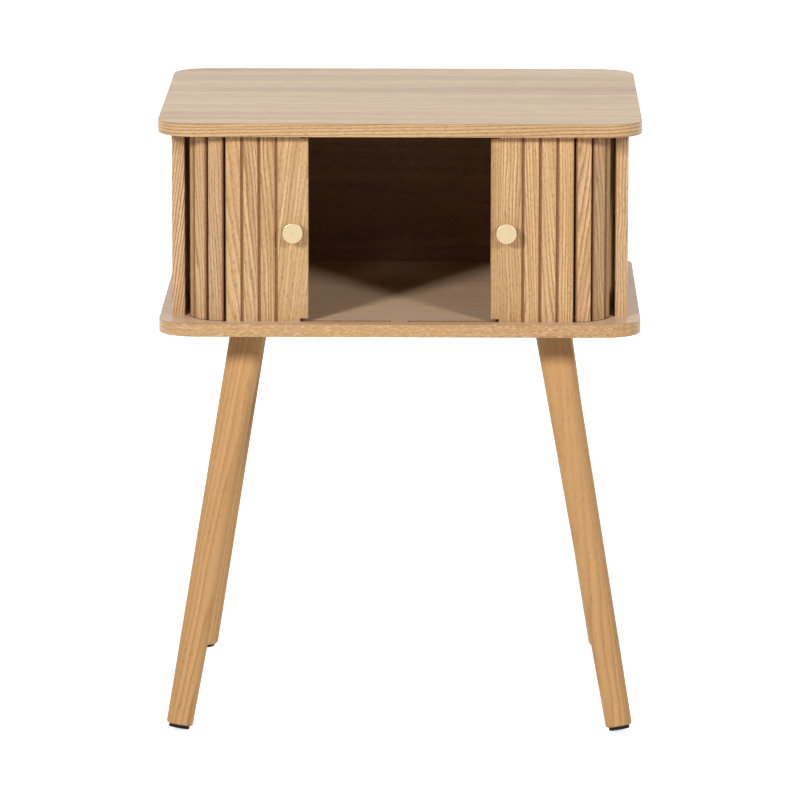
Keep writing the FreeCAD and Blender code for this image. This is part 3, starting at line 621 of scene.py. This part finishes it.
# narrow slats, stood along the track by geometry nodes; those on the straight meet at a tongue behind the gap
slats = {
    "count": 11, "straight": 3, "gap": 1.6,
    "width": 14.4, "backWidth": 11.6, "thickness": 8, "flank": 4, "round": 1.6, "roundSteps": 6,
    "veneerSteps": 2,  # the veneer turns over these last steps of each rounding
    "tongue": 1.5, "tongueDepth": 2.4,
    "firstRun": 122.5, "bendStart": 160.0, "bendRadius": 31.5, "bendTurn": 94, "line": -181.5,
    "cutAcross": (9, 46), "cutBehind": (16, 60), "cutAlong": (0, 2000), "slant": 0.09, "paler": (0.88, 1.12),
    "leftSeed": 22010, "rightSeed": 23248,
}
slatLook = dict(oak, early="#946639", ring=2.4, bandDepth=0.65, fade=0.6)
veneer, core, cloth = 0, 1, 2  # which finish a face of a slat takes


def makeSlatBlank(length, side=0):
    # one slat on end, front towards -y, with canvas glued to its back; side 1 or -1 has a tongue, 0 none
    wide, deep, radius = slats["width"] / 2, slats["thickness"] / 2, slats["round"]
    narrow, shoulder = slats["backWidth"] / 2, slats["flank"] - slats["thickness"] / 2
    steps, turned = slats["roundSteps"], slats["veneerSteps"]
    outline = []
    for middle, start in ((-wide + radius, 180), (wide - radius, 270)):
        for step in range(steps + 1):
            angle = math.radians(start + 90 * step / steps)
            outline.append((middle + radius * math.cos(angle), -deep + radius + radius * math.sin(angle)))
    ledge, reach = slats["tongueDepth"] - deep, wide + slats["tongue"]
    tongued, plain = [(wide, ledge), (reach, ledge), (reach, shoulder)], [(wide, shoulder)]
    right, left = (tongued if side == sign else plain for sign in (1, -1))
    outline += right + [(narrow, deep), (-narrow, deep)] + [(-x, y) for x, y in reversed(left)]
    work = bmesh.new()
    part = work.faces.layers.int.new("part")
    foot = [work.verts.new((x * mm, y * mm, 0)) for x, y in outline]
    head = [work.verts.new((x * mm, y * mm, length)) for x, y in outline]
    count = len(outline)
    for index in range(count):
        after = (index + 1) % count
        face = work.faces.new((foot[index], foot[after], head[after], head[index]))
        face[part] = veneer if abs(index - steps) <= turned else core
        if index == count - len(left) - 2:
            face[part] = cloth
    for ring in (foot[::-1], head):
        work.faces.new(ring)[part] = core
    bmesh.ops.recalc_face_normals(work, faces=work.faces[:])
    mesh = bpy.data.meshes.new("slatBlank")
    work.to_mesh(mesh)
    work.free()
    spots = mesh.attributes.new("spot", "FLOAT_VECTOR", "POINT")
    spots.data.foreach_set("vector", [value for vertex in mesh.vertices for value in vertex.co])
    return addPiece("slatBlank", mesh)


def newTree(name, wanted):
    tree = bpy.data.node_groups.new(name, "GeometryNodeTree")
    for label, kind, value in wanted:
        socket = tree.interface.new_socket(label, in_out="INPUT", socket_type=f"NodeSocket{kind}")
        if value is not None:
            socket.default_value = value
    tree.interface.new_socket("Geometry", in_out="OUTPUT", socket_type="NodeSocketGeometry")
    return tree, addNode(tree, "NodeGroupInput").outputs


def growPiece(name, tree, given):
    # a plain mesh of what the tree gives
    sockets = {item.name: item.identifier for item in tree.interface.items_tree if item.in_out == "INPUT"}
    piece = addPiece(name, bpy.data.meshes.new(name))
    grow = piece.modifiers.new(tree.name, "NODES")
    grow.node_group = tree
    for key, value in given.items():
        grow[sockets[key]] = value
    depsgraph = bpy.context.evaluated_depsgraph_get()
    grown = piece.evaluated_get(depsgraph)
    mesh = bpy.data.meshes.new_from_object(grown, preserve_all_data_layers=True, depsgraph=depsgraph)
    piece.modifiers.clear()
    mesh.name = name
    piece.data = mesh
    return piece


def addTrackPlace(tree, run, given):
    # where a slat stands after a run along the track: straight, round the bend, then straight again
    bendStart, bendTurn, radius = given["Bend Start"], given["Bend Turn"], given["Bend Radius"]
    hand = given["Hand"]
    past = addNode(tree, "ShaderNodeMath", {0: run, 1: bendStart}, operation="SUBTRACT").outputs[0]
    angle = addNode(tree, "ShaderNodeMath", {0: past, 1: radius}, operation="DIVIDE").outputs[0]
    angle = addNode(tree, "ShaderNodeClamp", {0: angle, 1: 0.0, 2: bendTurn}).outputs[0]
    bent = addNode(tree, "ShaderNodeMath", {0: radius, 1: bendTurn}, operation="MULTIPLY").outputs[0]
    rest = addNode(tree, "ShaderNodeMath", {0: past, 1: bent}, operation="SUBTRACT").outputs[0]
    rest = addNode(tree, "ShaderNodeMath", {0: rest, 1: 0.0}, operation="MAXIMUM").outputs[0]
    sine = addNode(tree, "ShaderNodeMath", {0: angle}, operation="SINE").outputs[0]
    cosine = addNode(tree, "ShaderNodeMath", {0: angle}, operation="COSINE").outputs[0]
    x = addNode(tree, "ShaderNodeMath", {0: run, 1: bendStart}, operation="MINIMUM").outputs[0]
    x = addNode(tree, "ShaderNodeMath", {0: radius, 1: sine, 2: x}, operation="MULTIPLY_ADD").outputs[0]
    x = addNode(tree, "ShaderNodeMath", {0: rest, 1: cosine, 2: x}, operation="MULTIPLY_ADD").outputs[0]
    x = addNode(tree, "ShaderNodeMath", {0: x, 1: hand}, operation="MULTIPLY").outputs[0]
    inward = addNode(tree, "ShaderNodeMath", {0: 1.0, 1: cosine}, operation="SUBTRACT").outputs[0]
    y = {0: radius, 1: inward, 2: given["Track Line"]}
    y = addNode(tree, "ShaderNodeMath", y, operation="MULTIPLY_ADD").outputs[0]
    y = addNode(tree, "ShaderNodeMath", {0: rest, 1: sine, 2: y}, operation="MULTIPLY_ADD").outputs[0]
    place = addNode(tree, "ShaderNodeCombineXYZ", {0: x, 1: y, 2: given["Base"]}).outputs[0]
    turned = addNode(tree, "ShaderNodeMath", {0: angle, 1: hand}, operation="MULTIPLY").outputs[0]
    turn = addNode(tree, "ShaderNodeCombineXYZ", {2: turned}).outputs[0]
    return place, turn


def buildSlatTree():
    tree, given = newTree("slatsOnTrack", (
        ("Blank", "Object", None), ("First", "Int", 1), ("Count", "Int", 1),
        ("Hand", "Float", 1.0), ("Base", "Float", 0.0),
        ("First Run", "Float", slats["firstRun"] * mm),
        ("Pitch", "Float", (slats["width"] + slats["gap"]) * mm),
        ("Bend Start", "Float", slats["bendStart"] * mm),
        ("Bend Radius", "Float", slats["bendRadius"] * mm),
        ("Bend Turn", "Float", math.radians(slats["bendTurn"])),
        ("Track Line", "Float", slats["line"] * mm), ("Seed", "Int", slats["leftSeed"]),
        ("Veneer", "Material", None), ("Core", "Material", None), ("Canvas", "Material", None),
    ))
    index = addNode(tree, "GeometryNodeInputIndex").outputs[0]
    number = addNode(tree, "ShaderNodeMath", {0: index, 1: given["First"]}, operation="ADD").outputs[0]
    order = addNode(tree, "ShaderNodeMath", {0: number, 1: 1.0}, operation="SUBTRACT").outputs[0]
    run = {0: order, 1: given["Pitch"], 2: given["First Run"]}
    run = addNode(tree, "ShaderNodeMath", run, operation="MULTIPLY_ADD").outputs[0]
    place, turn = addTrackPlace(tree, run, given)
    line = addNode(tree, "GeometryNodeMeshLine", {"Count": given["Count"], "Offset": (0, 0, 0)}).outputs[0]
    points = addNode(tree, "GeometryNodeSetPosition", {"Geometry": line, "Position": place}).outputs[0]
    blank = addNode(tree, "GeometryNodeObjectInfo", {"Object": given["Blank"]}).outputs["Geometry"]
    stand = {"Points": points, "Instance": blank, "Rotation": turn}
    stood = addNode(tree, "GeometryNodeInstanceOnPoints", stand).outputs[0]
    # each slat is cut from its own place in the log, at its own slant, and some are paler than others
    cuts = [slats[key] for key in ("cutAcross", "cutBehind", "cutAlong")]
    near, far = ([span[end] * mm for span in cuts] for end in (0, 1))
    lean = slats["slant"]
    triple, single = ("FLOAT_VECTOR", 0, 0), ("FLOAT", 2, 1)  # a draw's kind, its first limit and its output
    draws = (
        ("cut", triple, near, far),
        ("slant", triple, (-lean, -lean, 0), (lean, lean, 0)),
        ("paler", single, *slats["paler"]),
    )
    for later, (label, (kind, first, output), least, most) in enumerate(draws):
        seed = addNode(tree, "ShaderNodeMath", {0: given["Seed"], 1: float(later)}).outputs[0]
        limits = {first: least, first + 1: most, "ID": number, "Seed": seed}
        drawn = addNode(tree, "FunctionNodeRandomValue", limits, data_type=kind).outputs[output]
        stored = {"Geometry": stood, "Name": label, "Value": drawn}
        stood = addNode(tree, "GeometryNodeStoreNamedAttribute", stored,
                        data_type=kind, domain="INSTANCE").outputs[0]
    real = addNode(tree, "GeometryNodeRealizeInstances", {"Geometry": stood}).outputs[0]
    spot, cut, slant = (
        addNode(tree, "GeometryNodeInputNamedAttribute", {"Name": label}, data_type="FLOAT_VECTOR").outputs[0]
        for label in ("spot", "cut", "slant")
    )
    height = addNode(tree, "ShaderNodeSeparateXYZ", {0: spot}).outputs["Z"]
    shift = addNode(tree, "ShaderNodeVectorMath", {0: slant, "Scale": height}, operation="SCALE").outputs[0]
    grain = addNode(tree, "ShaderNodeVectorMath", {0: spot, 1: cut}, operation="ADD").outputs[0]
    grain = addNode(tree, "ShaderNodeVectorMath", {0: grain, 1: shift}, operation="ADD").outputs[0]
    stored = {"Geometry": real, "Name": "grain", "Value": grain}
    real = addNode(tree, "GeometryNodeStoreNamedAttribute", stored,
                   data_type="FLOAT_VECTOR", domain="POINT").outputs[0]
    part = addNode(tree, "GeometryNodeInputNamedAttribute", {"Name": "part"}, data_type="INT").outputs[0]
    for finish, kind in (("Veneer", veneer), ("Core", core), ("Canvas", cloth)):
        chosen = addNode(tree, "FunctionNodeCompare", {2: part, 3: kind}, data_type="INT", operation="EQUAL")
        finished = {"Geometry": real, "Selection": chosen.outputs[0], "Material": given[finish]}
        real = addNode(tree, "GeometryNodeSetMaterial", finished).outputs[0]
    addNode(tree, "NodeGroupOutput", {0: real})
    return tree


slatVeneer = makeOak("veneerSlat", slatLook, attribute="grain")
slatCore, tree = newMaterial("fibreboardCore")
grain = addNode(tree, "ShaderNodeAttribute", attribute_name="grain").outputs["Vector"]
# painted shade: the core is drawn darker deep in the groove between two slats, where shade falls
spot = addNode(tree, "ShaderNodeAttribute", attribute_name="spot").outputs["Vector"]
depth = addNode(tree, "ShaderNodeSeparateXYZ", {0: spot}).outputs["Y"]
sunk = {0: depth, 1: coreLook["grooveShadeFrom"] * mm, 2: coreLook["grooveShadeTo"] * mm}
depth = addNode(tree, "ShaderNodeMapRange", sunk).outputs[0]
paintedGrooveShade = {0: depth, 6: addCore(tree, grain), 7: linear(coreLook["deep"])}
tint = addNode(tree, "ShaderNodeMix", paintedGrooveShade, data_type="RGBA").outputs[2]
finishMaterial(tree, {"Base Color": tint, "Roughness": coreLook["roughness"]})

slatTree = buildSlatTree()
grooved = [corner.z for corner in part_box("left_slat_01")]  # foot and head of a slat that runs in the grooves
plain = [corner.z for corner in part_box("left_slat_11")]  # and of one with plain ends
longBlanks = {sign: makeSlatBlank(grooved[1] - grooved[0], -sign) for hand, sign in hands}
shortBlank = makeSlatBlank(plain[1] - plain[0])


def addSlats(name, body, hand, sign, numbers, blank, base):
    piece = growPiece(name, slatTree, {
        "Blank": blank, "First": numbers[0], "Count": len(numbers), "Hand": float(sign), "Base": base,
        "Seed": slats[f"{hand}Seed"], "Veneer": slatVeneer, "Core": slatCore, "Canvas": canvas,
    })
    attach(piece, body)
    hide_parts(*(f"{hand}_slat_{number:02d}" for number in numbers))


for hand, sign in hands:
    straight = range(1, slats["straight"] + 1)
    addSlats(f"{hand}_door_slats", f"{hand}_door", hand, sign, straight, longBlanks[sign], grooved[0])
    for number in range(slats["straight"] + 1, slats["count"] + 1):
        name, body = f"{hand}_turning_slat_{number:02d}", f"{hand}_slat_{number:02d}_body"
        addSlats(name, body, hand, sign, [number], shortBlank, plain[0])
for blank in (*longBlanks.values(), shortBlank):
    bpy.data.objects.remove(blank)
print("slats stood on the track")


# wood screws with a cross recess, four to a plate, each stopped at its own turn
screws = {
    "spacing": 36, "head": 7.5, "depth": 2.0, "shank": 4.0, "reach": 10.4, "sides": 20, "seat": 377.5,
    "crown": ((1, 0.4), (0.94, 0.7), (0.78, 0.92), (0.62, 1)),  # shares of the head's radius and depth
    "arm": 1.9, "slot": 0.45, "sink": 1.2, "taper": 0.75, "seed": 3,
}


def addLoops(work, loops):
    # faces between each closed loop of points and the next
    for inner, outer in zip(loops[:-1], loops[1:]):
        for step in range(len(inner)):
            after = (step + 1) % len(inner)
            work.faces.new((inner[step], inner[after], outer[after], outer[step]))


def makeScrewBlank():
    # head down, its seat at z = 0
    work = bmesh.new()
    sides, wide, deep, shank = screws["sides"], screws["head"] / 2, screws["depth"], screws["shank"] / 2
    profile = [(shank, screws["reach"]), (shank, 0), (wide, 0)]
    profile += [(wide * share, -deep * drop) for share, drop in screws["crown"]]
    turns = [2 * math.pi * step / sides for step in range(sides)]
    rings = []
    for radius, z in profile:
        places = [(radius * math.cos(turn) * mm, radius * math.sin(turn) * mm, z * mm) for turn in turns]
        rings.append([work.verts.new(place) for place in places])
    addLoops(work, rings)
    work.faces.new(rings[0])
    arm, slot, taper = screws["arm"], screws["slot"], screws["taper"]
    quarter = [(arm, -slot), (arm, slot), (slot, slot)]
    cross = []
    for count in range(4):
        cross += quarter
        quarter = [(-y, x) for x, y in quarter]
    lip = [work.verts.new((x * mm, y * mm, -deep * mm)) for x, y in cross]
    sunk = (screws["sink"] - deep) * mm
    bottom = [work.verts.new((x * taper * mm, y * taper * mm, sunk)) for x, y in cross]
    addLoops(work, [lip, bottom])
    work.faces.new(bottom)
    rim = []
    for loop in (rings[-1], lip):
        rim += [work.edges.get(pair) for pair in zip(loop, loop[1:] + loop[:1])]
    bmesh.ops.triangle_fill(work, edges=rim, use_beauty=True)
    bmesh.ops.recalc_face_normals(work, faces=work.faces[:])
    mesh = bpy.data.meshes.new("screwBlank")
    work.to_mesh(mesh)
    work.free()
    return addPiece("screwBlank", mesh)


def buildScrewTree():
    tree, given = newTree("screwsOnPlates", (
        ("Plates", "Object", None), ("Blank", "Object", None), ("Spacing", "Float", screws["spacing"] * mm),
        ("Seed", "Int", screws["seed"]), ("Finish", "Material", None),
    ))
    plates = addNode(tree, "GeometryNodeObjectInfo", {"Object": given["Plates"]}).outputs["Geometry"]
    turn = addNode(tree, "GeometryNodeInputNamedAttribute", {"Name": "turn"}, data_type="FLOAT").outputs[0]
    turned = addNode(tree, "ShaderNodeCombineXYZ", {2: turn}).outputs[0]
    pattern = {"Size X": given["Spacing"], "Size Y": given["Spacing"], "Vertices X": 2, "Vertices Y": 2}
    square = addNode(tree, "GeometryNodeMeshGrid", pattern).outputs[0]
    drill = {"Points": plates, "Instance": square, "Rotation": turned}
    holes = addNode(tree, "GeometryNodeInstanceOnPoints", drill).outputs[0]
    holes = addNode(tree, "GeometryNodeRealizeInstances", {"Geometry": holes}).outputs[0]
    limits = {2: 0.0, 3: math.pi, "Seed": given["Seed"]}
    stop = addNode(tree, "FunctionNodeRandomValue", limits, data_type="FLOAT").outputs[1]
    stopped = addNode(tree, "ShaderNodeCombineXYZ", {2: stop}).outputs[0]
    blank = addNode(tree, "GeometryNodeObjectInfo", {"Object": given["Blank"]}).outputs["Geometry"]
    drive = {"Points": holes, "Instance": blank, "Rotation": stopped}
    driven = addNode(tree, "GeometryNodeInstanceOnPoints", drive).outputs[0]
    real = addNode(tree, "GeometryNodeRealizeInstances", {"Geometry": driven}).outputs[0]
    plated = {"Geometry": real, "Material": given["Finish"]}
    real = addNode(tree, "GeometryNodeSetMaterial", plated).outputs[0]
    addNode(tree, "NodeGroupOutput", {0: real})
    return tree


mesh = bpy.data.meshes.new("platePlaces")
places, angles = [], []
for end, way in ends:
    for hand, sign in hands:
        places.append((sign * legTurning["headX"] * mm, way * legTurning["headY"] * mm, screws["seat"] * mm))
        angles.append(math.radians(-sign * way * legTurning[end]))
mesh.from_pydata(places, [], [])
turns = mesh.attributes.new("turn", "FLOAT", "POINT")
turns.data.foreach_set("value", angles)
plates = addPiece("platePlaces", mesh)
screwBlank = makeScrewBlank()
piece = growPiece("plate_screws", buildScrewTree(), {"Plates": plates, "Blank": screwBlank, "Finish": zinc})
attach(piece, "carcass")
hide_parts("leg_plate_screws")
for helper in (plates, screwBlank):
    bpy.data.objects.remove(helper)
print("screws driven")
